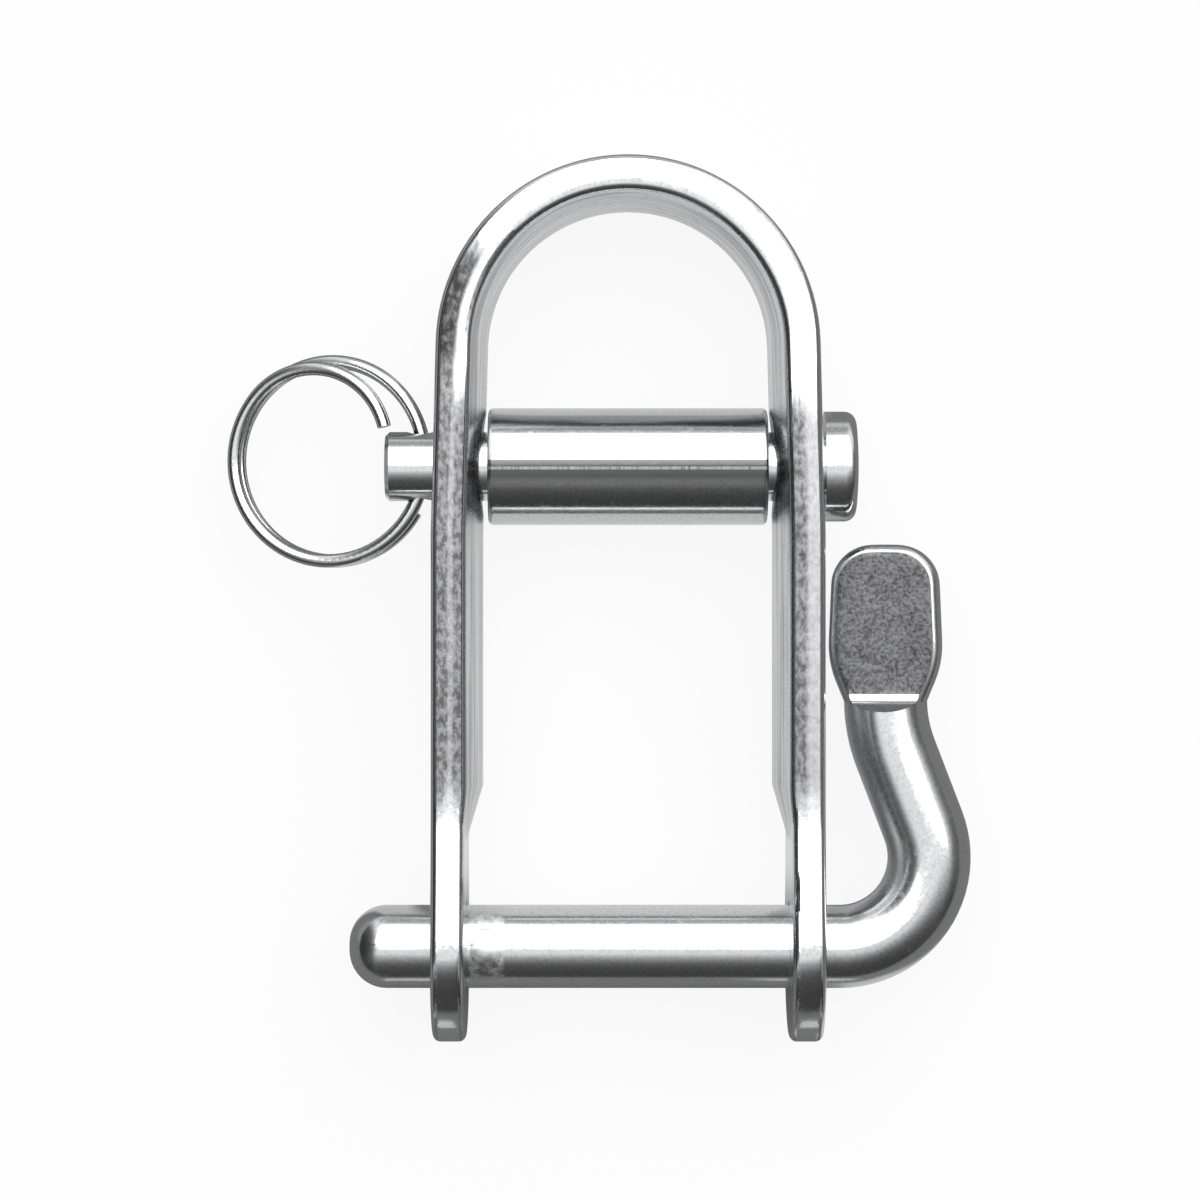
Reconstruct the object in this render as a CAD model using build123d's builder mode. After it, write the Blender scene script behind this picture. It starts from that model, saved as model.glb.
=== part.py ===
"""Halyard shackle with a captive key pin, a roller on its clevis pin and a split ring.

The shackle lies flat. +Z is up, +Y runs from the key pin to the top of the bow, and +X points to
the key pin's handle. The origin is on the key pin's axis, midway between the ears. All sizes are
in millimetres, all angles in degrees.
"""

from build123d import *
import math
import os

# Bar of the shackle body: flat outside, crowned inside
bar_width = 10.8
bar_edge = 2.4
bar_crown = 1.2
bar_arris = 0.55

# Bow, legs and ears of the shackle body
leg_half_width = 14.05
leg_lean = 1.5
lean_height = 29.9
lean_bend_radius = 40.0
clevis_height = 34.7
clevis_to_bow_centre = 8.35
ear_neck = 7.7
ear_overhang = 1.45
crown_run_out = 4.0
eye_chamfer = 0.2
countersink_diameter = 7.6
countersink_angle = 125.0

# Pins, and the clearance round each of them
key_pin_diameter = 6.0
clevis_pin_diameter = 5.0
running_clearance = 0.08

# Clevis pin
head_diameter = 7.95
head_rim = 2.2
head_dome = 0.25
head_rounding = 0.85
head_clearance = 0.15
tail_wall = 1.56
tail_chamfer = 0.3

# Roller
roller_diameter = 8.45
roller_end_clearance = 0.16
roller_rounding = 0.35
roller_bore_chamfer = 0.25

# Split ring: a wire of nearly two turns, whose first end is bent inwards
ring_wire = 1.0
ring_radius = 7.25
ring_coil_gap = 0.04
ring_leg_gap = 0.25
ring_hole_clearance = 0.14
ring_shift = 0.45
ring_lead_inset = 1.45
ring_lead_angle = 140.0
ring_lead_turn = 125.0
ring_tail_angle = 329.0
ring_droop = 16.0

# Key pin
tip_beyond_ear = 6.05
tip_flat_radius = 0.3
handle_stand_off = 1.3
handle_turn = 111.0
handle_return_radius = 10.8
lug_height = 0.2
lug_length = 2.3
lug_relief = 0.4
lug_clearance = 0.35

# Thumb paddle, pressed flat at the end of the key pin's handle
paddle_gap = 0.3
paddle_head_gap = 1.67
paddle_flare = 1.12
paddle_length = 11.2
paddle_thickness = 3.2
paddle_top_taper = 0.35
paddle_top_crown = 0.3
paddle_top_radius = 3.0
paddle_hip_radius = 7.0
paddle_hip_rise = 2.7
paddle_root = 1.2
paddle_rim = 0.85
paddle_twist = 8.0
shoulder_angle = 60.0
shoulder_hollow = 1.28
face_start = 0.7

# Sizes that follow from those above
bar_total = bar_edge + bar_crown
bow_centre_height = clevis_height + clevis_to_bow_centre
eye_radius = bar_width / 2 + ear_overhang
key_radius = key_pin_diameter / 2
shank_radius = clevis_pin_diameter / 2
eye_hole_radius = key_radius + running_clearance
clevis_hole_radius = shank_radius + running_clearance
ear_inner = leg_half_width - bar_edge
crown_top = ear_neck + crown_run_out
lean = math.radians(leg_lean)
bow_radius = leg_half_width * math.cos(lean) - (bow_centre_height - lean_height) * math.sin(lean)
spring_x = bow_radius * math.cos(lean)
spring_y = bow_centre_height + bow_radius * math.sin(lean)


def leg_outer_at(height):
    """Distance from the middle plane to a leg's outer face, at a height above the key pin."""
    return min(leg_half_width, spring_x + (spring_y - height) * math.tan(lean))


def section_plane(height):
    """Plane across the right leg, whose local X points to the inside of the shackle."""
    return Plane(origin=(leg_half_width, height, 0), x_dir=(-1, 0, 0), z_dir=(0, 1, 0))


class BarSection(BaseSketchObject):
    """The bar's section with rounded arrises, flat at local X = 0 and crowned towards local +X."""

    def __init__(self, crown, mode=Mode.ADD):
        half = bar_width / 2
        with BuildSketch() as section:
            with BuildLine():
                Polyline((bar_edge, half), (0, half), (0, -half), (bar_edge, -half))
                if crown > 0:
                    ThreePointArc((bar_edge, -half), (bar_edge + crown, 0), (bar_edge, half))
                else:
                    Line((bar_edge, -half), (bar_edge, half))
            make_face()
            fillet(section.vertices(), radius=bar_arris)
        super().__init__(section.sketch, rotation=0, align=None, mode=mode)


# Shackle body: one bar bent into a bow, with its two ends pressed flat into ears
blend_radius = (crown_top**2 / ear_overhang - bar_width - ear_overhang) / 2
blend_share = eye_radius / (eye_radius + blend_radius)
blend_y = crown_top * blend_share
blend_z = (bar_width / 2 + blend_radius) * blend_share

with BuildPart() as shackle_body:
    with BuildSketch(Plane.YZ.offset(ear_inner)):
        with BuildLine():
            Line((crown_top, -bar_width / 2), (crown_top, bar_width / 2))
            TangentArc((crown_top, bar_width / 2), (blend_y, blend_z), tangent=(-1, 0))
            ThreePointArc((blend_y, blend_z), (-eye_radius, 0), (blend_y, -blend_z))
            TangentArc((crown_top, -bar_width / 2), (blend_y, -blend_z), tangent=(-1, 0))
        make_face()
    extrude(amount=bar_edge)
    ear_outline = shackle_body.edges().filter_by(Axis.X, reverse=True)
    fillet(ear_outline.filter_by(Axis.Z, reverse=True), radius=bar_arris)

    with BuildSketch(section_plane(ear_neck)):
        BarSection(crown=0)
    with BuildSketch(section_plane(crown_top)):
        BarSection(crown=bar_crown)
    loft()

    with BuildLine() as bar_path:
        Polyline((leg_half_width, crown_top), (leg_half_width, lean_height), (spring_x, spring_y))
        fillet(bar_path.vertices().sort_by(Axis.Y)[1], radius=lean_bend_radius)
        CenterArc((0, bow_centre_height), bow_radius, leg_lean, 90 - leg_lean)
    with BuildSketch(section_plane(crown_top)):
        BarSection(crown=bar_crown)
    sweep()
    mirror(about=Plane.YZ)

    inner_apex = leg_outer_at(clevis_height) - bar_total
    with Locations(
        Plane(origin=(inner_apex, clevis_height, 0), z_dir=(-1, 0, 0)),
        Plane(origin=(-inner_apex, clevis_height, 0), z_dir=(1, 0, 0)),
    ):
        CounterSinkHole(clevis_hole_radius, countersink_diameter / 2, 2 * bar_total, countersink_angle)
    with BuildSketch(Plane.YZ):
        Circle(eye_hole_radius)
    extrude(amount=2 * leg_half_width, both=True, mode=Mode.SUBTRACT)
    circles = shackle_body.edges().filter_by(GeomType.CIRCLE)
    eye_rims = circles.filter_by(lambda rim: math.isclose(rim.radius, eye_hole_radius, rel_tol=1e-6))
    chamfer(eye_rims, length=eye_chamfer)

shackle_body.part.label = "shackle_body"

# Clevis pin: turned, with a domed head on the right and the ring's cross hole on the left
head_radius = head_diameter / 2
head_start = leg_half_width + head_clearance
head_end = head_start + head_rim
dome_radius = (head_radius**2 + head_dome**2) / (2 * head_dome)
dome_angle = math.degrees(math.asin(head_radius / dome_radius))
ring_reach = leg_outer_at(clevis_height) + ring_leg_gap + ring_wire / 2
ring_bow = ring_radius - math.sqrt(ring_radius**2 - (shank_radius + ring_shift) ** 2)
ring_hole_x = -(ring_reach + ring_bow / 2)
ring_hole_radius = (ring_wire + ring_bow) / 2 + ring_hole_clearance
tail_end = ring_hole_x - ring_hole_radius - tail_wall
clevis_plane = Plane(origin=(0, clevis_height, 0))

with BuildPart() as clevis_pin:
    with BuildSketch(clevis_plane) as turned:
        with BuildLine():
            CenterArc((head_end + head_dome - dome_radius, 0), dome_radius, 0, dome_angle)
            Polyline(
                (head_end, head_radius),
                (head_start, head_radius),
                (head_start, shank_radius),
                (tail_end, shank_radius),
                (tail_end, 0),
                (head_end + head_dome, 0),
            )
        make_face()
        rims = turned.vertices().group_by(Axis.Y)[-1]
        fillet(rims.sort_by(Axis.X)[-1], radius=head_rounding)
    revolve(axis=Axis((0, clevis_height, 0), (1, 0, 0)))
    chamfer(clevis_pin.edges().sort_by(Axis.X)[0], length=tail_chamfer)
    with BuildSketch(Plane(origin=(ring_hole_x, clevis_height, 0), z_dir=(0, 1, 0))):
        Circle(ring_hole_radius)
    extrude(amount=clevis_pin_diameter, both=True, mode=Mode.SUBTRACT)

clevis_pin.part.label = "clevis_pin"

# Roller: a sleeve that runs on the clevis pin, between the crowns of the two legs
roller_half = leg_outer_at(clevis_height + roller_diameter / 2) - bar_total - roller_end_clearance
roller_bore_radius = shank_radius + running_clearance

with BuildPart() as roller:
    with BuildSketch(Plane(origin=(0, clevis_height, 0), x_dir=(0, 1, 0), z_dir=(1, 0, 0))):
        Circle(roller_diameter / 2)
        Circle(roller_bore_radius, mode=Mode.SUBTRACT)
    extrude(amount=roller_half, both=True)
    end_circles = roller.edges().filter_by(GeomType.CIRCLE).sort_by(SortBy.RADIUS)
    chamfer(end_circles[:2], length=roller_bore_chamfer)
    fillet(end_circles[-2:], radius=roller_rounding)

roller.part.label = "roller"

# Split ring: it swings in the cross hole and hangs below the plane of the shackle
droop = math.radians(ring_droop)
coil_pitch = ring_wire + ring_coil_gap
main_sweep = 360 - ring_lead_angle + ring_tail_angle
ring_plane = Plane(
    origin=(ring_hole_x, clevis_height, 0),
    x_dir=(math.cos(droop), 0, math.sin(droop)),
    z_dir=(-math.sin(droop), 0, math.cos(droop)),
)
ring_centre_x = ring_bow / 2 - ring_radius


def coil(radius, pitch, sweep_angle, centre, start_angle, rise):
    """One wind of the ring's wire about a centre in the ring's plane, clockwise from a start angle."""
    start = ring_plane * Pos(centre[0], centre[1], rise) * Rot(0, 0, start_angle)
    return start * Helix(pitch, pitch * sweep_angle / 360, radius, lefthand=True)


tail_rise = -coil_pitch * ring_tail_angle / 360
lead_rise = tail_rise + coil_pitch * main_sweep / 360
lead_direction = math.radians(ring_lead_angle)
ring_lead_radius = ring_radius - ring_lead_inset
lead_centre = (
    ring_centre_x + ring_lead_inset * math.cos(lead_direction),
    ring_shift + ring_lead_inset * math.sin(lead_direction),
)
lead_pitch = coil_pitch * ring_lead_radius / ring_radius
main_centre = (ring_centre_x, ring_shift)
main_coil = coil(ring_radius, coil_pitch, main_sweep, main_centre, ring_tail_angle, tail_rise)
lead_coil = coil(
    ring_lead_radius, lead_pitch, ring_lead_turn, lead_centre, ring_lead_angle, lead_rise
)

with BuildPart() as split_ring:
    with BuildLine():
        add(main_coil)
        add(lead_coil)
    with BuildSketch(Plane(origin=main_coil @ 0, z_dir=main_coil % 0)):
        Circle(ring_wire / 2)
    sweep(is_frenet=True)

split_ring.part.label = "split_ring"

# Key pin: a round bar bent back beside the right leg, with stop lugs swaged just inside the left ear
tip_end = -(leg_half_width + tip_beyond_ear)
bend_start = leg_half_width + handle_stand_off
twist = math.radians(paddle_twist)
hip = key_radius + paddle_flare
paddle_half = hip * math.cos(twist) + paddle_thickness / 2 * math.sin(twist)
paddle_x = leg_half_width + paddle_gap + paddle_half
shoulder_y = clevis_height - head_radius - paddle_head_gap - paddle_length

# The handle's first bend and straight reach, such that its return bend ends at the paddle
turn = math.radians(handle_turn)
reach_x = paddle_x - bend_start + handle_return_radius * (1 - math.sin(turn))
reach_y = shoulder_y + handle_return_radius * math.cos(turn)
handle_bend_radius = (reach_x * math.sin(turn) - reach_y * math.cos(turn)) / (1 - math.cos(turn))
handle_reach = (reach_y * math.sin(turn)) / (1 - math.cos(turn)) - reach_x

paddle_across = (math.cos(twist), 0, math.sin(twist))
paddle_plane = Plane(
    origin=(paddle_x, shoulder_y, 0),
    x_dir=paddle_across,
    z_dir=(-math.sin(twist), 0, math.cos(twist)),
)
shoulder_plane = Plane(origin=(paddle_x, shoulder_y, 0), x_dir=(0, 1, 0), z_dir=paddle_across)
root_half = key_radius - paddle_root * (hip - key_radius) / paddle_hip_rise
shoulder_lean = math.radians(shoulder_angle)
shoulder_top = key_pin_diameter
shoulder_run = (shoulder_top - paddle_thickness / 2) / math.tan(shoulder_lean)
shoulder_foot = face_start - shoulder_hollow * math.tan(shoulder_lean / 2)

with BuildPart() as paddle:
    with BuildSketch(paddle_plane) as outline:
        top_half = hip - paddle_top_taper
        top_corner = paddle_length - paddle_top_crown
        with BuildLine():
            ThreePointArc((top_half, top_corner), (0, paddle_length), (-top_half, top_corner))
            Polyline(
                (-top_half, top_corner),
                (-hip, paddle_hip_rise),
                (-root_half, -paddle_root),
                (root_half, -paddle_root),
                (hip, paddle_hip_rise),
                (top_half, top_corner),
            )
        make_face()
        fillet(outline.vertices().group_by(Axis.Y)[-1], radius=paddle_top_radius)
        fillet(outline.vertices().group_by(Axis.Y)[1], radius=paddle_hip_radius)
    extrude(amount=paddle_thickness / 2, both=True)
    rim = paddle.edges().filter_by(paddle_plane)
    fillet(rim - rim.group_by(Axis.Y)[0], radius=paddle_rim)

# The lugs are a swell of the bar, an ellipsoid that stands out of it only above and below
lug_top = key_radius + lug_height
lug_spread = lug_length / 2 / math.sqrt(1 - (key_radius / lug_top) ** 2)
lug_x = lug_clearance - ear_inner + lug_length / 2

with BuildPart() as lug:
    Sphere(1, rotation=(0, 90, 0))
    scale(by=(lug_spread, key_radius - lug_relief, lug_top))

with BuildPart() as key_pin:
    with BuildLine():
        shank = Line((tip_end, 0), (bend_start, 0))
        bend = JernArc(shank @ 1, shank % 1, handle_bend_radius, handle_turn)
        reach = PolarLine(bend @ 1, handle_reach, direction=bend % 1)
        back = JernArc(reach @ 1, reach % 1, handle_return_radius, 90 - handle_turn)
        Line(back @ 1, back @ 1 + back % 1 * (face_start + paddle_root))
    with BuildSketch(Plane(origin=(tip_end, 0, 0), z_dir=(1, 0, 0))):
        Circle(key_radius)
    sweep()
    fillet(key_pin.edges().sort_by(Axis.X)[0], radius=key_radius - tip_flat_radius)
    with BuildSketch(shoulder_plane) as shoulder:
        with BuildLine():
            Polyline(
                (shoulder_foot - shoulder_run, shoulder_top),
                (shoulder_foot, paddle_thickness / 2),
                (face_start + 2 * paddle_root, paddle_thickness / 2),
                (face_start + 2 * paddle_root, shoulder_top),
                close=True,
            )
        make_face()
        feet = shoulder.vertices().group_by(Axis.Y)[0]
        fillet(feet.sort_by(Axis.X)[0], radius=shoulder_hollow)
        mirror(about=Plane.XZ)
    extrude(amount=key_pin_diameter, both=True, mode=Mode.SUBTRACT)
    add(paddle.part)
    with Locations((lug_x, 0, 0)):
        add(lug.part)

key_pin.part.label = "key_pin"

os.makedirs("parts", exist_ok=True)
for piece in (shackle_body, key_pin, clevis_pin, roller, split_ring):
    export_step(piece.part, f"parts/{piece.part.label}.step")
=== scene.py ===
"""Looks of the halyard shackle: stainless steel that shows wear, under a softbox, lying on white paper.

The model is in metres: +Z is up, +Y runs from the key pin to the top of the bow, and +X points to
the key pin's handle. Sizes in the classes below are in millimetres, and angles in degrees.
"""

import logging
import math
from dataclasses import dataclass, field
from enum import Enum

import bpy
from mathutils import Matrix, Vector


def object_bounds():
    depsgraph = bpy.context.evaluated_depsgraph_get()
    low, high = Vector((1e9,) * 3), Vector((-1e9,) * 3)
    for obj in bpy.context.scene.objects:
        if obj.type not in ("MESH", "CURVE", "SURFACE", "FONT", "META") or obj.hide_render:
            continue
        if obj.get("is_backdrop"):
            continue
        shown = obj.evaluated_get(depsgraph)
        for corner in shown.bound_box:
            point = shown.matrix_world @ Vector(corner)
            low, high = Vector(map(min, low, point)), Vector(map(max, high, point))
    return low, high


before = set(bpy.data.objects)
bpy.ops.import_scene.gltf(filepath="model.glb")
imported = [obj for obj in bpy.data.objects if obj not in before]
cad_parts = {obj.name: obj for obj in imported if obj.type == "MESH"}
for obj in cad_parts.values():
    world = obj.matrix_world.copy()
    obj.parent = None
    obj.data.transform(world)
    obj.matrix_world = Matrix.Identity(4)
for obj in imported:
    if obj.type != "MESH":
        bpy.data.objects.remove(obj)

LOG = logging.getLogger("shackle")
MM = 0.001

Colour = tuple[float, float, float]
Triple = tuple[float, float, float]


class Lay(Enum):
    """Which way the marks of making run, as how much longer a mark is along each axis."""

    EVEN = (1.0, 1.0, 1.0)
    DRAWN = (1.0, 1.8, 1.0)
    ALONG_LEG = (1.0, 14.0, 1.0)
    ROUND_PIN = (1.0, 40.0, 40.0)
    ACROSS_BAR = (60.0, 60.0, 1.0)


class Socket:
    """An output of a node, on which arithmetic adds Math nodes."""

    def __init__(self, graph: "Graph", output: bpy.types.NodeSocket) -> None:
        """Wraps an output of a node in a graph."""
        self.graph = graph
        self.output = output

    def __add__(self, other: "Socket | float") -> "Socket":
        """The sum."""
        return self.graph.math("ADD", self, other)

    __radd__ = __add__

    def __sub__(self, other: "Socket | float") -> "Socket":
        """The difference."""
        return self.graph.math("SUBTRACT", self, other)

    def __rsub__(self, other: "Socket | float") -> "Socket":
        """The difference, with this value taken away."""
        return self.graph.math("SUBTRACT", other, self)

    def __mul__(self, other: "Socket | float") -> "Socket":
        """The product."""
        return self.graph.math("MULTIPLY", self, other)

    __rmul__ = __mul__

    def __truediv__(self, other: "Socket | float") -> "Socket":
        """The quotient."""
        return self.graph.math("DIVIDE", self, other)

    def __rtruediv__(self, other: "Socket | float") -> "Socket":
        """The quotient, with this value below the line."""
        return self.graph.math("DIVIDE", other, self)

    def __pow__(self, other: "Socket | float") -> "Socket":
        """The power."""
        return self.graph.math("POWER", self, other)

    def __rpow__(self, other: float) -> "Socket":
        """A number raised to this value."""
        return self.graph.math("POWER", other, self)

    def __abs__(self) -> "Socket":
        """The value without its sign."""
        return self.graph.math("ABSOLUTE", self)

    def at_least(self, low: float) -> "Socket":
        """The value, or the lower limit where that is more."""
        return self.graph.math("MAXIMUM", self, low)

    def at_most(self, high: float) -> "Socket":
        """The value, or the upper limit where that is less."""
        return self.graph.math("MINIMUM", self, high)


@dataclass(frozen=True)
class Rise:
    """A smooth rise from 0 to 1 between two values, or a fall where the end is the lesser one."""

    start: float
    end: float

    def of(self, value: Socket) -> Socket:
        """How far a value is from the start to the end.

        Args:
            value: The value that passes from start to end.

        Returns:
            0 at the start, 1 at the end, the same past either, and an S-shaped curve between them.
        """
        rises = self.start < self.end
        inputs = {
            "Value": value,
            "From Min": min(self.start, self.end),
            "From Max": max(self.start, self.end),
            "To Min": 0.0 if rises else 1.0,
            "To Max": 1.0 if rises else 0.0,
        }
        settings = {"interpolation_type": "SMOOTHSTEP"}
        return value.graph.node("ShaderNodeMapRange", settings, inputs)["Result"]


class Node:
    """A node of a graph, whose outputs are read by name."""

    def __init__(self, graph: "Graph", node: bpy.types.Node) -> None:
        """Wraps a node of a graph."""
        self.graph = graph
        self.node = node

    def __getitem__(self, name: str) -> Socket:
        """The output of that name, among those that the node's settings switch on."""
        return Socket(self.graph, next(o for o in self.node.outputs if o.name == name and o.enabled))


class Graph:
    """The node tree of a material or of the world."""

    def __init__(self, owner: bpy.types.ID) -> None:
        """Empties the owner's node tree.

        Args:
            owner: The material or world.
        """
        owner.use_nodes = True
        self.tree = owner.node_tree
        self.tree.nodes.clear()

    def put(self, target: bpy.types.NodeSocket, value: "Socket | float | tuple") -> None:
        """Links a socket to an input, or sets the input's own value.

        Args:
            target: The input.
            value: What it takes.
        """
        if isinstance(value, Socket):
            self.tree.links.new(value.output, target)
        else:
            target.default_value = value

    def node(self, kind: str, settings: dict, inputs: dict) -> Node:
        """Adds a node.

        Args:
            kind: The node's type.
            settings: Attributes of the node, set before its inputs.
            inputs: Values or sockets, by the input's name or its number.

        Returns:
            The new node.
        """
        made = self.tree.nodes.new(kind)
        for name, value in settings.items():
            setattr(made, name, value)
        for key, value in inputs.items():
            named = (i for i in made.inputs if i.name == key and i.enabled)
            self.put(made.inputs[key] if isinstance(key, int) else next(named), value)
        return Node(self, made)

    def math(self, operation: str, *values: "Socket | float") -> Socket:
        """Adds a Math node for one value or two."""
        return self.node("ShaderNodeMath", {"operation": operation}, dict(enumerate(values)))["Value"]

    def mix(self, share: "Socket | float", first: "Socket | Colour", second: "Socket | Colour") -> Socket:
        """Mixes two colours.

        Args:
            share: 0 gives the first colour and 1 the second.
            first: A colour, or a socket that carries one.
            second: A colour, or a socket that carries one.

        Returns:
            The mixed colour.
        """
        ends = [c if isinstance(c, Socket) else (*c, 1.0) for c in (first, second)]
        inputs = {"Factor": share, "A": ends[0], "B": ends[1]}
        return self.node("ShaderNodeMix", {"data_type": "RGBA"}, inputs)["Result"]

    def blend(self, share: Socket, first: Socket, second: Socket) -> Socket:
        """Mixes two shaders: share 0 gives the first and 1 the second."""
        return self.node("ShaderNodeMixShader", {}, {0: share, 1: first, 2: second})["Shader"]

    def split(self, vector: Socket) -> tuple[Socket, Socket, Socket]:
        """The three coordinates of a vector."""
        parts = self.node("ShaderNodeSeparateXYZ", {}, {"Vector": vector})
        return parts["X"], parts["Y"], parts["Z"]


@dataclass(frozen=True)
class Pattern:
    """Soft noise. Detail is its finer octaves, coarseness their strength, and the seed slides it."""

    size: float
    lay: Lay = Lay.EVEN
    detail: float = 2.0
    seed: float = 0.0
    coarseness: float = 0.6


class Spot:
    """Where a shaded point lies on the model, in millimetres, and which way it faces."""

    def __init__(self, graph: Graph) -> None:
        """Reads the point's place and its normal.

        Args:
            graph: The node tree of the point's material.
        """
        self.graph = graph
        coordinates = graph.node("ShaderNodeTexCoord", {}, {})
        inputs = {"Vector": coordinates["Object"], "Scale": 1 / MM}
        self.place = graph.node("ShaderNodeVectorMath", {"operation": "SCALE"}, inputs)["Vector"]
        self.x, self.y, _ = graph.split(self.place)
        self.normal = coordinates["Normal"]
        self.facing_up = abs(graph.split(self.normal)[2])

    def facing(self, direction: Triple) -> Socket:
        """How squarely the point faces a direction or its opposite, from 0 to 1."""
        inputs = {0: self.normal, 1: direction}
        return abs(self.graph.node("ShaderNodeVectorMath", {"operation": "DOT_PRODUCT"}, inputs)["Value"])

    def noise(self, pattern: Pattern) -> Socket:
        """Works out a pattern at the point.

        Args:
            pattern: The noise, with the size of its marks across their lay.

        Returns:
            The noise, from 0 to 1.
        """
        scale = tuple(1 / (pattern.size * longer) for longer in pattern.lay.value)
        inputs = {"Vector": self.place, "Location": (pattern.seed,) * 3, "Scale": scale}
        moved = self.graph.node("ShaderNodeMapping", {"vector_type": "POINT"}, inputs)["Vector"]
        inputs = {"Vector": moved, "Scale": 1.0, "Detail": pattern.detail, "Roughness": pattern.coarseness}
        return self.graph.node("ShaderNodeTexNoise", {}, inputs)["Fac"]


@dataclass(frozen=True)
class Skin:
    """What a finish gives the shader: colour, roughness, and height in millimetres."""

    colour: Socket
    roughness: Socket
    height: Socket

    def cover(self, share: Socket, other: "Skin") -> "Skin":
        """Lays another skin over this one.

        Args:
            share: How much of the other skin shows, where 1 is all of it.
            other: The skin on top.

        Returns:
            The two skins as one.
        """
        colour = share.graph.mix(share, self.colour, other.colour)
        roughness = self.roughness * (1 - share) + other.roughness * share
        height = self.height * (1 - share) + other.height * share
        return Skin(colour, roughness, height)


@dataclass(frozen=True)
class Polish:
    """Polished steel: faint dull marks, a slow waviness, and small scuffs."""

    tint: Colour = (0.72, 0.725, 0.735)
    gloss: float = 0.11
    marks: Pattern = Pattern(0.22)
    marks_dark: Rise = Rise(0.55, 0.30)
    marks_rough: Rise = Rise(0.45, 0.75)
    mark_shade: float = 0.80
    mark_cover: float = 0.7
    mark_roughness: float = 0.05
    mark_height: float = 0.0012
    waves: Pattern = Pattern(1.3, detail=1.0, seed=3.0)
    wave_height: float = 0.004
    scuffs: Pattern = Pattern(0.9, detail=4.0, seed=7.0)
    scuffed: Rise = Rise(0.56, 0.74)
    scuff_roughness: float = 0.12

    def skin(self, spot: Spot) -> Skin:
        """Works out the polish at a spot.

        Args:
            spot: The shaded point.

        Returns:
            The polish's skin there.
        """
        marks = spot.noise(self.marks)
        dull = tuple(self.mark_shade * c for c in self.tint)
        colour = spot.graph.mix(self.marks_dark.of(marks) * self.mark_cover, self.tint, dull)
        scuffs = self.scuffed.of(spot.noise(self.scuffs)) * self.scuff_roughness
        roughness = self.gloss + self.marks_rough.of(marks) * self.mark_roughness + scuffs
        height = marks * self.mark_height + spot.noise(self.waves) * self.wave_height
        return Skin(colour, roughness, height)


@dataclass(frozen=True)
class Grit:
    """Unpolished steel with a sand-like grain of bright points in dark pits."""

    dark: Colour
    bright: Colour
    grains: Pattern
    gloss: float = 0.36
    points: Rise = Rise(0.31, 0.69)
    patches: Pattern = Pattern(2.2, seed=5.0)
    lighter: Rise = Rise(0.3, 0.7)
    patch_share: float = 0.25
    grain_roughness: float = 0.1
    grain_height: float = 0.03

    def skin(self, spot: Spot) -> Skin:
        """Works out the grain at a spot.

        Args:
            spot: The shaded point.

        Returns:
            The grain's skin there.
        """
        grains = spot.noise(self.grains)
        patches = self.lighter.of(spot.noise(self.patches))
        level = self.points.of(grains) * (1 - self.patch_share) + patches * self.patch_share
        colour = spot.graph.mix(level, self.dark, self.bright)
        return Skin(colour, self.gloss + self.grain_roughness * grains, grains * self.grain_height)


@dataclass(frozen=True)
class PaintedEdgeLine:
    """A dotted dark line along X, a painted reflection of the softbox's near edge in the steel."""

    middle: float
    half: float
    depth: float = 0.6
    core: float = 0.3
    dots: Pattern = Pattern(0.5, detail=3.0, seed=8.0)
    dotted: Rise = Rise(0.62, 0.42)
    upward: Rise = Rise(0.90, 0.97)

    def share(self, spot: Spot) -> Socket:
        """Works out the painted line at a spot, on the faces that look up or down.

        Args:
            spot: The shaded point.

        Returns:
            How much of the line lies there, from 0 to 1.
        """
        dots = self.dotted.of(spot.noise(self.dots))
        line = Rise(self.half, self.half * self.core).of(abs(spot.y - self.middle))
        return line * self.upward.of(spot.facing_up) * dots * self.depth


@dataclass(frozen=True)
class Finish:
    """A steel finish of one material slot."""

    slot: str
    polish: Polish = Polish()

    def skin(self, spot: Spot) -> Skin:
        """The finish at a spot."""
        return self.polish.skin(spot)

    def material(self) -> bpy.types.Material:
        """Makes the material.

        Returns:
            The material, named after the slot.
        """
        made = bpy.data.materials.new(self.slot)
        graph = Graph(made)
        skin = self.skin(Spot(graph))
        bump = graph.node("ShaderNodeBump", {}, {"Strength": 1.0, "Distance": MM, "Height": skin.height})
        inputs = {
            "Base Color": skin.colour,
            "Metallic": 1.0,
            "Roughness": skin.roughness,
            "Normal": bump["Normal"],
        }
        shader = graph.node("ShaderNodeBsdfPrincipled", {}, inputs)
        graph.node("ShaderNodeOutputMaterial", {}, {"Surface": shader["BSDF"]})
        return made


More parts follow.
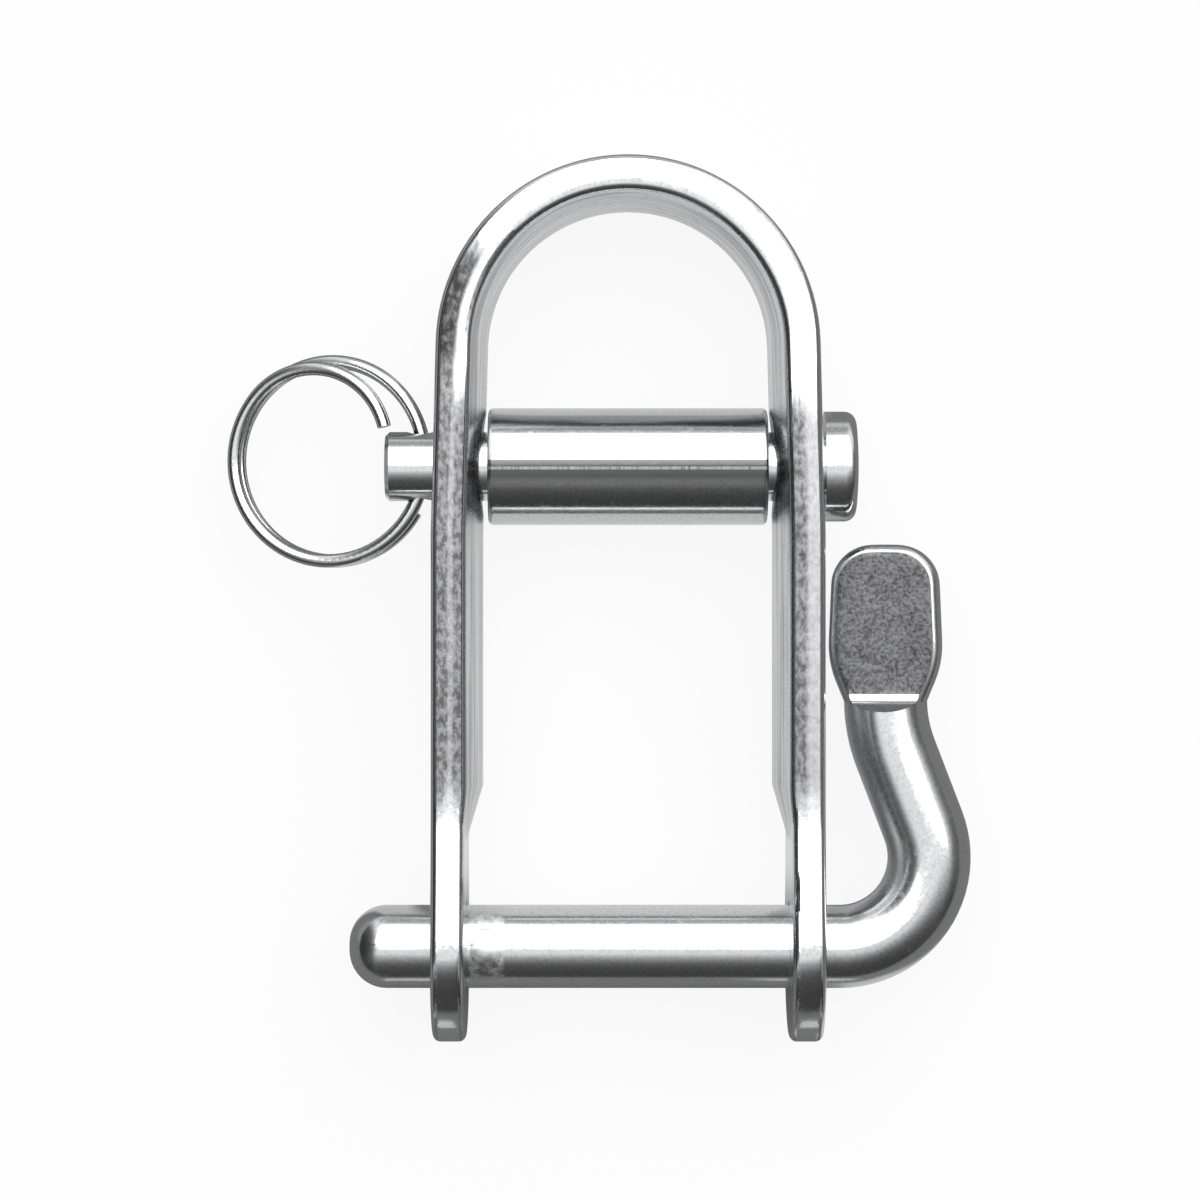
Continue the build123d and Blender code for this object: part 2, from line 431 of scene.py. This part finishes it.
@dataclass(frozen=True)
class BarFinish(Finish):
    """The shackle body's bar: polished, with unpolished edge faces on its legs and a sooty shoulder.

    A place on an edge face is given by how far along the leg it is, which is Y, and by how far it
    is across the face from the face's middle line, positive towards the outside of the bow.
    """

    bow_centre: float = 43.05
    edge_middle: float = 12.85
    bow_edge_middle: float = 12.5
    lean_height: float = 29.9
    edge_half: float = 1.2
    edge_roll: float = 7.0
    level_face: Rise = Rise(0.90, 0.975)
    ear_rim: Rise = Rise(0.6, 0.2)
    ear: Rise = Rise(0.0, -5.0)
    ear_drop: float = 0.6
    # painted reflection: a dotted dark line where the softbox's near edge shows on the ears
    painted_edge_line: PaintedEdgeLine = PaintedEdgeLine(0.6, 0.18)

    # painted shade: the inner face darkens in streaks towards the colour below; the streaks also bump the
    # bar
    inner_face: Rise = Rise(-1.15, -1.35)
    inner_painted_shade: Colour = (0.42, 0.42, 0.43)
    inner_roughness: float = 0.16
    drawn_lines_and_shade: Pattern = Pattern(0.30, Lay.ACROSS_BAR, seed=2.0)
    shade_streaks: Rise = Rise(0.6, 0.35)
    drawn_height: float = 0.0015

    grit: Grit = Grit(
        (0.035, 0.035, 0.036),
        (0.25, 0.25, 0.255),
        Pattern(0.36, Lay.DRAWN, detail=3.0, seed=11.0),
        points=Rise(0.37, 0.63),
    )
    grit_cover: float = 0.94
    grit_foot: Rise = Rise(8.5, 13.0)
    grit_top: Rise = Rise(42.0, 37.5)
    ragged: Pattern = Pattern(1.1, Lay.ALONG_LEG, detail=3.0, seed=1.0)
    ragged_reach: float = 7.0
    higher_leg: Rise = Rise(-8.0, -11.0)
    higher_side: Rise = Rise(-0.3, 0.4)
    higher_by: float = 11.0

    # The lighter line along each leg's edge face is a painted highlight; these say where it lies and how
    # light it is.
    right_leg: Rise = Rise(-1.0, 1.0)
    left_line_in: Rise = Rise(-0.50, -0.25)
    left_line_out: Rise = Rise(0.08, -0.12)
    left_line_share: float = 0.55
    right_line_in: Rise = Rise(-0.35, 0.15)
    right_line_out: Rise = Rise(1.1, 0.75)
    painted_highlight: Colour = (0.60, 0.60, 0.61)
    painted_highlight_share: float = 0.5

    soot: Pattern = Pattern(0.5, Lay.DRAWN, detail=4.0, seed=12.0)
    soot_pale: Rise = Rise(0.42, 0.66)
    soot_pale_share: float = 0.55
    soot_side: Rise = Rise(-8.0, -9.6)
    soot_foot: Rise = Rise(41.0, 43.2)
    soot_top: Rise = Rise(51.6, 48.6)
    soot_in: Rise = Rise(-0.60, -0.10)
    soot_cover: float = 0.97

    def across(self, spot: Spot) -> Socket:
        """Distance across the edge face from its middle line.

        Args:
            spot: The shaded point.

        Returns:
            The distance, which is straight across the legs and radial round the bow.
        """
        over = (spot.y - self.bow_centre).at_least(0.0)
        radius = (spot.x * spot.x + over * over) ** 0.5
        bowed = Rise(self.lean_height, self.bow_centre).of(spot.y)
        return radius - self.edge_middle + (self.edge_middle - self.bow_edge_middle) * bowed

    def bright(self, spot: Spot, across: Socket) -> Skin:
        """Polish with rolled edge faces, drooping ear rims, the painted edge line on the ears, and streaks
        of painted shade on the inner face.

        Args:
            spot: The shaded point.
            across: Its distance across the edge face.

        Returns:
            The polished skin.
        """
        polish = self.polish.skin(spot)
        lines = spot.noise(self.drawn_lines_and_shade)
        inside = self.inner_face.of(across)
        # painted shade in streaks on the inner face
        colour = spot.graph.mix(inside * self.shade_streaks.of(lines), polish.colour, self.inner_painted_shade)
        # the painted dark line of the softbox's edge, in the grit's dark colour
        colour = spot.graph.mix(self.painted_edge_line.share(spot), colour, self.grit.dark)
        held = across.at_least(-self.edge_half).at_most(self.edge_half)
        roll = math.tan(math.radians(self.edge_roll)) / (2 * self.edge_half)
        rim = self.ear_rim.of(spot.facing((1.0, 0.0, 0.0)))
        droop = rim * self.ear.of(spot.y) * self.ear_drop
        height = polish.height - held * held * roll - droop + lines * self.drawn_height
        return Skin(colour, polish.roughness + inside * self.inner_roughness, height)

    def rough_leg(self, spot: Spot, across: Socket, rough: Skin) -> tuple[Socket, Skin]:
        """Grit on the edge faces of the legs, with a painted highlight as a lighter line along each.

        It goes up higher on the outer half of the left leg.

        Args:
            spot: The shaded point.
            across: Its distance across the edge face.
            rough: The grit there.

        Returns:
            How much of the grit lies there, ragged at both ends, and its skin.
        """
        along = spot.y + self.ragged_reach * spot.noise(self.ragged) - self.ragged_reach / 2
        higher = self.higher_leg.of(spot.x) * self.higher_side.of(across)
        share = self.grit_foot.of(along) * self.grit_top.of(along - self.higher_by * higher)
        right = self.right_leg.of(spot.x)
        left_line = self.left_line_in.of(across) * self.left_line_out.of(across) * (1 - right)
        right_line = self.right_line_in.of(across) * self.right_line_out.of(across) * right
        # painted highlight: the lighter line's colour
        lighter = spot.graph.mix(self.painted_highlight_share, rough.colour, self.painted_highlight)
        skin = rough.cover(
            left_line * self.left_line_share + right_line, Skin(lighter, rough.roughness, rough.height)
        )
        return share * self.grit_cover, skin

    def sooty(self, spot: Spot, across: Socket, rough: Skin) -> tuple[Socket, Skin]:
        """A sooty, mottled patch on the bow's left shoulder.

        Args:
            spot: The shaded point.
            across: Its distance across the edge face.
            rough: The grit there.

        Returns:
            How much of the patch lies there, and its skin.
        """
        shoulder = self.soot_side.of(spot.x) * self.soot_foot.of(spot.y) * self.soot_top.of(spot.y)
        pale = self.soot_pale.of(spot.noise(self.soot)) * self.soot_pale_share
        colour = spot.graph.mix(pale, self.grit.dark, self.grit.bright)
        share = shoulder * self.soot_in.of(across) * self.soot_cover
        return share, Skin(colour, rough.roughness, rough.height)

    def skin(self, spot: Spot) -> Skin:
        """Works out the bar's finish at a spot.

        Args:
            spot: The shaded point.

        Returns:
            Polish, with grit and soot on the faces that look up or down.
        """
        across = self.across(spot)
        level = self.level_face.of(spot.facing_up)
        rough = self.grit.skin(spot)
        leg, leg_skin = self.rough_leg(spot, across, rough)
        soot, soot_skin = self.sooty(spot, across, rough)
        return self.bright(spot, across).cover(leg * level, leg_skin).cover(soot * level, soot_skin)


@dataclass(frozen=True)
class RodFinish(Finish):
    """The key pin: polished, with a sand-like grain on the pressed faces of its paddle."""

    # painted reflection: a dotted dark line where the softbox's near edge shows on the pin
    painted_edge_line: PaintedEdgeLine = PaintedEdgeLine(0.34, 0.10, 0.5)
    painted_edge_line_end: Rise = Rise(15.5, 14.5)
    leg_side: Rise = Rise(-0.35, -0.8)
    leg_side_start: Rise = Rise(3.0, 5.0)
    leg_side_roughness: float = 0.2

    grit: Grit = Grit(
        (0.045, 0.045, 0.046), (0.21, 0.21, 0.215), Pattern(0.26, detail=3.0, seed=11.0), gloss=0.42
    )
    paddle_twist: float = 8.0
    paddle_face: Rise = Rise(0.90, 0.955)
    paddle_start: Rise = Rise(18.18, 18.33)
    shoulder_tilt: float = 60.0
    shoulder_face: Rise = Rise(0.955, 0.985)
    shoulder_start: Rise = Rise(16.5, 16.6)
    shoulder_end: Rise = Rise(17.6, 17.5)
    shoulder_cover: float = 0.7

    lug_start: Rise = Rise(-11.6, -11.2)
    lug_end: Rise = Rise(-8.7, -9.1)
    lug_far: Rise = Rise(5.0, 4.0)
    bruises: Pattern = Pattern(0.55, detail=3.0, seed=9.0)
    bruised: Rise = Rise(0.3, 0.7)
    bruise_least: float = 0.35
    bruise_dents: Pattern = Pattern(0.5, seed=4.0)
    bruise_height: float = 0.008
    bruise_roughness: float = 0.28

    def bright(self, spot: Spot) -> Skin:
        """Polish with the painted dark line of the softbox's edge, and duller where the handle faces the
        leg.

        Args:
            spot: The shaded point.

        Returns:
            The polished skin.
        """
        polish = self.polish.skin(spot)
        # painted reflection: the dark line of the softbox's edge, which stops before the handle
        painted_edge_line = self.painted_edge_line.share(spot) * self.painted_edge_line_end.of(spot.x)
        to_leg = self.leg_side.of(spot.graph.split(spot.normal)[0]) * self.leg_side_start.of(spot.y)
        return Skin(
            spot.graph.mix(painted_edge_line, polish.colour, self.grit.dark),
            polish.roughness + self.leg_side_roughness * to_leg,
            polish.height,
        )

    def pressed(self, spot: Spot) -> Socket:
        """Where the paddle is pressed flat.

        Args:
            spot: The shaded point.

        Returns:
            How much it lies on one of the paddle's two faces, from 0 to 1.
        """
        twist = math.radians(self.paddle_twist)
        face = spot.facing((-math.sin(twist), 0.0, math.cos(twist)))
        return self.paddle_face.of(face) * self.paddle_start.of(spot.y)

    def shoulder(self, spot: Spot) -> Socket:
        """Where the press's edge has left a steep shoulder below the paddle.

        Args:
            spot: The shaded point.

        Returns:
            How much it lies on the shoulder of the lower or upper face, from 0 to 1.
        """
        tilt = math.radians(self.shoulder_tilt)
        lower, upper = (
            self.shoulder_face.of(spot.facing((0.0, side * math.sin(tilt), math.cos(tilt))))
            for side in (1, -1)
        )
        return (lower + upper) * self.shoulder_start.of(spot.y) * self.shoulder_end.of(spot.y)

    def bruise(self, spot: Spot) -> Socket:
        """How bruised the pin is: not at all, or round the lugs from the least share to 1 above it."""
        lug = self.lug_start.of(spot.x) * self.lug_end.of(spot.x) * self.lug_far.of(spot.y)
        return lug * (self.bruise_least + self.bruised.of(spot.noise(self.bruises)))

    def skin(self, spot: Spot) -> Skin:
        """Works out the key pin's finish at a spot.

        Args:
            spot: The shaded point.

        Returns:
            Polish, a bruise round the lugs, and grit on the paddle's faces and shoulders.
        """
        bright = self.bright(spot)
        dents = spot.noise(self.bruise_dents) * self.bruise_height
        bruised = Skin(bright.colour, bright.roughness + self.bruise_roughness, dents)
        grit = self.grit.skin(spot)
        skin = bright.cover(self.bruise(spot), bruised).cover(self.pressed(spot), grit)
        return skin.cover(self.shoulder(spot) * self.shoulder_cover, grit)


@dataclass(frozen=True)
class TurnedFinish(Finish):
    """A turned piece: faint rings run round it, and a painted dark line of the softbox's edge along it.

    Its end faces are dull where they lie past the end given here, as the roller's do. The roller also
    has a band of painted shade along its middle, with a painted lighter line in it.
    """

    end: float = 9.95
    end_soft: float = 0.1
    end_gloss: float = 0.38
    rings: Pattern = Pattern(0.07, Lay.ROUND_PIN, seed=6.0)
    rings_rough: Rise = Rise(0.5, 0.8)
    ring_roughness: float = 0.05
    ring_height: float = 0.0006
    # painted reflection: a dotted dark line where the softbox's near edge shows
    painted_edge_line: PaintedEdgeLine = PaintedEdgeLine(34.81, 0.12)
    # painted shade: the dark colour of the painted line and band, as a share of the tint; then the band
    # and its painted lighter line
    painted_dark_share: float = 0.15
    painted_shade: float = 0.0
    painted_shade_top: Rise = Rise(35.15, 35.0)
    painted_shade_foot: Rise = Rise(33.1, 34.0)
    line_middle: float = 34.46
    line_soft: Rise = Rise(0.16, 0.05)
    line_broken: Rise = Rise(0.25, 0.5)
    line_share: float = 0.65

    def skin(self, spot: Spot) -> Skin:
        """Works out the turned finish at a spot.

        Args:
            spot: The shaded point.

        Returns:
            Polish with rings, the painted edge line and, on the roller, the band of painted shade.
        """
        polish = self.polish.skin(spot)
        rings = spot.noise(self.rings)
        ends = Rise(self.end - self.end_soft, self.end + self.end_soft).of(abs(spot.x))
        dulled = self.rings_rough.of(rings) * self.ring_roughness
        # painted shade: the dark band, with a painted lighter line through it
        painted_shade = self.painted_shade_top.of(spot.y) * self.painted_shade_foot.of(spot.y)
        line = self.line_soft.of(abs(spot.y - self.line_middle)) * self.line_broken.of(rings)
        dark = tuple(self.painted_dark_share * c for c in self.polish.tint)
        # the painted dark line of the softbox's edge
        with_edge_line = spot.graph.mix(self.painted_edge_line.share(spot), polish.colour, dark)
        return Skin(
            spot.graph.mix(painted_shade * (1 - self.line_share * line) * self.painted_shade, with_edge_line, dark),
            polish.roughness + dulled + ends * (self.end_gloss - self.polish.gloss),
            polish.height + rings * self.ring_height,
        )


@dataclass
class Piece:
    """A piece of the shackle: one node of the model, and the finish of its slot."""

    node: str
    finish: Finish

    def dress(self) -> None:
        """Puts the finish on the piece and names its slot."""
        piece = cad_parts[self.node]
        piece.data.materials.clear()
        piece.data.materials.append(self.finish.material())
        LOG.info("%s: %s", self.node, self.finish.slot)


@dataclass
class ShackleBody(Piece):
    """The bar bent into a bow, with its two ears."""

    node: str = "shackle_body"
    finish: Finish = field(default_factory=lambda: BarFinish("polished_bar"))


@dataclass
class KeyPin(Piece):
    """The round bar with the handle and its paddle."""

    node: str = "key_pin"
    finish: Finish = field(
        default_factory=lambda: RodFinish("polished_rod", Polish((0.71, 0.715, 0.725), gloss=0.15))
    )


@dataclass
class ClevisPin(Piece):
    """The turned pin with a domed head."""

    node: str = "clevis_pin"
    finish: Finish = field(default_factory=lambda: TurnedFinish("turned_pin", end=20.0))


@dataclass
class Roller(Piece):
    """The sleeve on the clevis pin."""

    node: str = "roller"
    # its finish has a band of painted shade along the middle
    finish: Finish = field(
        default_factory=lambda: TurnedFinish(
            "turned_roller", Polish((0.62, 0.625, 0.63), gloss=0.13), painted_shade=0.95
        )
    )


@dataclass
class SplitRing(Piece):
    """The wire ring in the clevis pin's cross hole."""

    node: str = "split_ring"
    finish: Finish = field(
        default_factory=lambda: Finish(
            "spring_wire",
            Polish((0.74, 0.745, 0.75), marks=Pattern(0.08), waves=Pattern(0.8, detail=1.0, seed=3.0)),
        )
    )


@dataclass(frozen=True)
class Softbox:
    """The lamp over the shackle, as angles from straight up to its four edges."""

    left: float = -33.0
    right: float = 51.0
    near: float = 2.6
    far: float = 66.0
    height: float = 1000.0
    radiance: float = 2.3

    def hang(self, foot: Vector) -> None:
        """Hangs the lamp level over a point.

        Args:
            foot: The point on the ground from which the angles are taken, in metres.
        """
        height = self.height * MM
        angles = (self.left, self.right, self.near, self.far)
        left, right, near, far = (height * math.tan(math.radians(a)) for a in angles)
        data = bpy.data.lights.new("softbox", "AREA")
        data.shape = "RECTANGLE"
        data.size, data.size_y = right - left, far - near
        data.energy = self.radiance * math.pi * data.size * data.size_y
        lamp = bpy.data.objects.new("softbox", data)
        lamp.location = foot + Vector(((left + right) / 2, (near + far) / 2, height))
        bpy.context.scene.collection.objects.link(lamp)


@dataclass(frozen=True)
class Room:
    """The room round the softbox: a glow beside it, and dark walls.

    A place in it is a direction of length 1, whose X grows to the right and Y towards the bow. Past
    its end on the key pin's side the glow fades, and it ends sooner on the right.
    """

    glow: float = 0.85
    glow_left: Rise = Rise(-0.72, -0.40)
    glow_right: Rise = Rise(0.97, 0.76)
    glow_far: Rise = Rise(0.90, 0.98)
    far_fade: float = 0.65
    glow_end: float = 0.28
    glow_lean: float = 0.35
    fade: float = 0.20
    wall: float = 0.11
    wall_near: Rise = Rise(0.5, 0.1)
    wall_left: Rise = Rise(-0.98, -0.60)
    dark: float = 0.04
    seen: Colour = (1.0, 1.0, 1.0)

    def build(self) -> None:
        """Makes the world, from a ray's direction. The camera itself sees only white."""
        world = bpy.data.worlds.new("room")
        bpy.context.scene.world = world
        graph = Graph(world)
        x, y, _ = graph.split(graph.node("ShaderNodeTexCoord", {}, {})["Generated"])
        past = (self.glow_lean * x.at_least(0.0) - y - self.glow_end).at_least(0.0).at_most(1.0)
        fall = math.exp(-1 / self.fade) ** past
        beside = self.glow_left.of(x) * self.glow_right.of(x) * (1 - self.far_fade * self.glow_far.of(y))
        wall = self.wall * self.wall_near.of(past) * self.wall_left.of(x)
        level = self.glow * beside * fall + wall + self.dark
        grey = graph.node("ShaderNodeCombineColor", {}, {"Red": level, "Green": level, "Blue": level})
        ray = graph.node("ShaderNodeLightPath", {}, {})["Is Camera Ray"]
        colour = graph.mix(ray, grey["Color"], self.seen)
        shade = graph.node("ShaderNodeBackground", {}, {"Color": colour, "Strength": 1.0})
        graph.node("ShaderNodeOutputWorld", {}, {"Surface": shade["Background"]})


@dataclass(frozen=True)
class PaintedLightPatch:
    """A rectangle of painted light on the paper, with soft edges, that only the steel's reflections show.
    """

    bright: float
    left: Rise
    right: Rise
    near: Rise
    far: Rise

    def level(self, spot: Spot) -> Socket:
        """How bright the patch is at a spot."""
        inside = self.left.of(spot.x) * self.right.of(spot.x) * self.near.of(spot.y) * self.far.of(spot.y)
        return self.bright * inside


@dataclass(frozen=True)
class Paper:
    """White paper under the shackle, which keeps the shackle's shadow.

    To the steel's reflections it is a darker grey, a painted shadow that gives the steel its dark
    outlines, with patches of painted light, brightest inside the shackle and smaller ones by the tip,
    the handle and its bend, and ahead of the two ears. Painted light shows again far off behind the
    bow and, less so, to the left.
    """

    half: float = 3000.0
    tint: Colour = (0.68, 0.68, 0.68)
    # painted shadow: the darker copy of the paper that every ray but the camera's meets
    shaded: Colour = (0.14, 0.14, 0.14)
    seen_white: float = 0.90
    # painted shadow: how much white the steel's reflections see of the paper outside the patches
    painted_shadow_level: float = 0.065
    # patches of painted light, seen only in the steel's reflections
    inside: PaintedLightPatch = PaintedLightPatch(0.66, Rise(-16.0, -11.0), Rise(16.0, 11.0), Rise(0.0, 6.0), Rise(60.0, 52.0))
    by_tip: PaintedLightPatch = PaintedLightPatch(0.528, Rise(-24.0, -21.0), Rise(-15.0, -16.5), Rise(0.0, 4.0), Rise(40.0, 30.0))
    by_handle: PaintedLightPatch = PaintedLightPatch(0.33, Rise(13.5, 15.0), Rise(22.0, 19.0), Rise(4.0, 8.0), Rise(30.0, 24.0))
    by_bend: PaintedLightPatch = PaintedLightPatch(0.528, Rise(14.0, 18.0), Rise(28.0, 22.0), Rise(-22.0, -13.0), Rise(1.0, -4.0))
    ahead_of_left_ear: PaintedLightPatch = PaintedLightPatch(
        0.55, Rise(-26.0, -21.0), Rise(-10.5, -12.5), Rise(-95.0, -70.0), Rise(-31.0, -36.0)
    )
    ahead_of_right_ear: PaintedLightPatch = PaintedLightPatch(
        0.55, Rise(10.5, 12.5), Rise(26.0, 21.0), Rise(-95.0, -70.0), Rise(-31.0, -36.0)
    )
    # painted light far off, seen only in the steel's reflections
    painted_far_bright: float = 0.55
    bow_centre: float = 43.0
    far_off: Rise = Rise(24.0, 60.0)
    behind_bow: Rise = Rise(0.45, 0.85)
    left_side: Rise = Rise(2.0, -2.0)
    past_tip: Rise = Rise(4.0, 16.0)
    left_share: float = 0.25

    def painted_far_light(self, spot: Spot) -> Socket:
        """Painted light on the paper far off, as the steel's reflections show it.

        Args:
            spot: The point on the paper.

        Returns:
            The brightness, by distance from the shackle's middle line or, past it, the bow's centre.
        """
        over = (spot.y - self.bow_centre).at_least(0.0)
        radius = (spot.x * spot.x + over * over) ** 0.5
        behind = self.behind_bow.of(over / radius)
        beside = self.left_share * self.past_tip.of(spot.y) * self.left_side.of(spot.x)
        return self.painted_far_bright * self.far_off.of(radius) * (behind + beside * (1 - behind))

    def material(self) -> bpy.types.Material:
        """Makes the paper's material.

        Returns:
            White to the camera; to glossy and transmission rays a painted-shadow grey with painted light
            by place; and to all others the same painted-shadow grey, which throws back less light than
            paper does.
        """
        made = bpy.data.materials.new("paper")
        graph = Graph(made)
        pale, shaded = (
            graph.node("ShaderNodeBsdfDiffuse", {}, {"Color": (*tint, 1.0)})["BSDF"]
            for tint in (self.tint, self.shaded)
        )
        white = graph.node("ShaderNodeEmission", {}, {"Color": (1, 1, 1, 1), "Strength": 1.0})["Emission"]
        ray = graph.node("ShaderNodeLightPath", {}, {})
        mirrored = graph.math("MAXIMUM", ray["Is Glossy Ray"], ray["Is Transmission Ray"])
        spot = Spot(graph)
        # the painted shadow level, with the painted light far off and in the patches added to it
        level = self.painted_shadow_level + self.painted_far_light(spot)
        for patch in (
            self.inside,
            self.by_tip,
            self.by_handle,
            self.by_bend,
            self.ahead_of_left_ear,
            self.ahead_of_right_ear,
        ):
            level = level + patch.level(spot)
        share = ray["Is Camera Ray"] * self.seen_white + mirrored * level
        # painted shadow: the darker copy, for every ray but the camera's
        plain = graph.blend(ray["Is Camera Ray"], shaded, pale)
        graph.node("ShaderNodeOutputMaterial", {}, {"Surface": graph.blend(share, plain, white)})
        return made

    def lay(self) -> None:
        """Lays the paper level with the shackle's lowest point."""
        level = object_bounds()[0][2]
        half = self.half * MM
        corners = [(-half, -half, level), (half, -half, level), (half, half, level), (-half, half, level)]
        mesh = bpy.data.meshes.new("paper")
        mesh.from_pydata(corners, [], [(0, 1, 2, 3)])
        mesh.materials.append(self.material())
        sheet = bpy.data.objects.new("paper", mesh)
        bpy.context.scene.collection.objects.link(sheet)
        sheet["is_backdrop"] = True


@dataclass(frozen=True)
class Camera:
    """The camera straight above the shackle, with +Y up in the picture."""

    foot: tuple[float, float] = (-2.0, 25.05)
    distance: float = 289.0
    frame_width: float = 86.8
    sensor: float = 36.0
    nearest: float = 10.0
    farthest: float = 20000.0

    def place(self) -> None:
        """Makes the camera and sets it as the scene's."""
        data = bpy.data.cameras.new("camera")
        data.sensor_width = self.sensor
        data.lens = self.sensor * self.distance / self.frame_width
        data.clip_start, data.clip_end = self.nearest * MM, self.farthest * MM
        camera = bpy.data.objects.new("camera", data)
        camera.location = Vector((*self.foot, self.distance)) * MM
        bpy.context.scene.collection.objects.link(camera)
        bpy.context.scene.camera = camera


def main() -> None:
    """Dresses each piece of the shackle, and sets the camera and the light."""
    logging.basicConfig(level=logging.INFO, format="%(message)s")
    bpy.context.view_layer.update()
    for piece in (ShackleBody(), KeyPin(), ClevisPin(), Roller(), SplitRing()):
        piece.dress()
    camera = Camera()
    camera.place()
    Paper().lay()
    Softbox().hang(Vector((*camera.foot, 0.0)) * MM)
    Room().build()
    bpy.context.scene.view_settings.view_transform = "Standard"


if __name__ == "__main__":
    main()
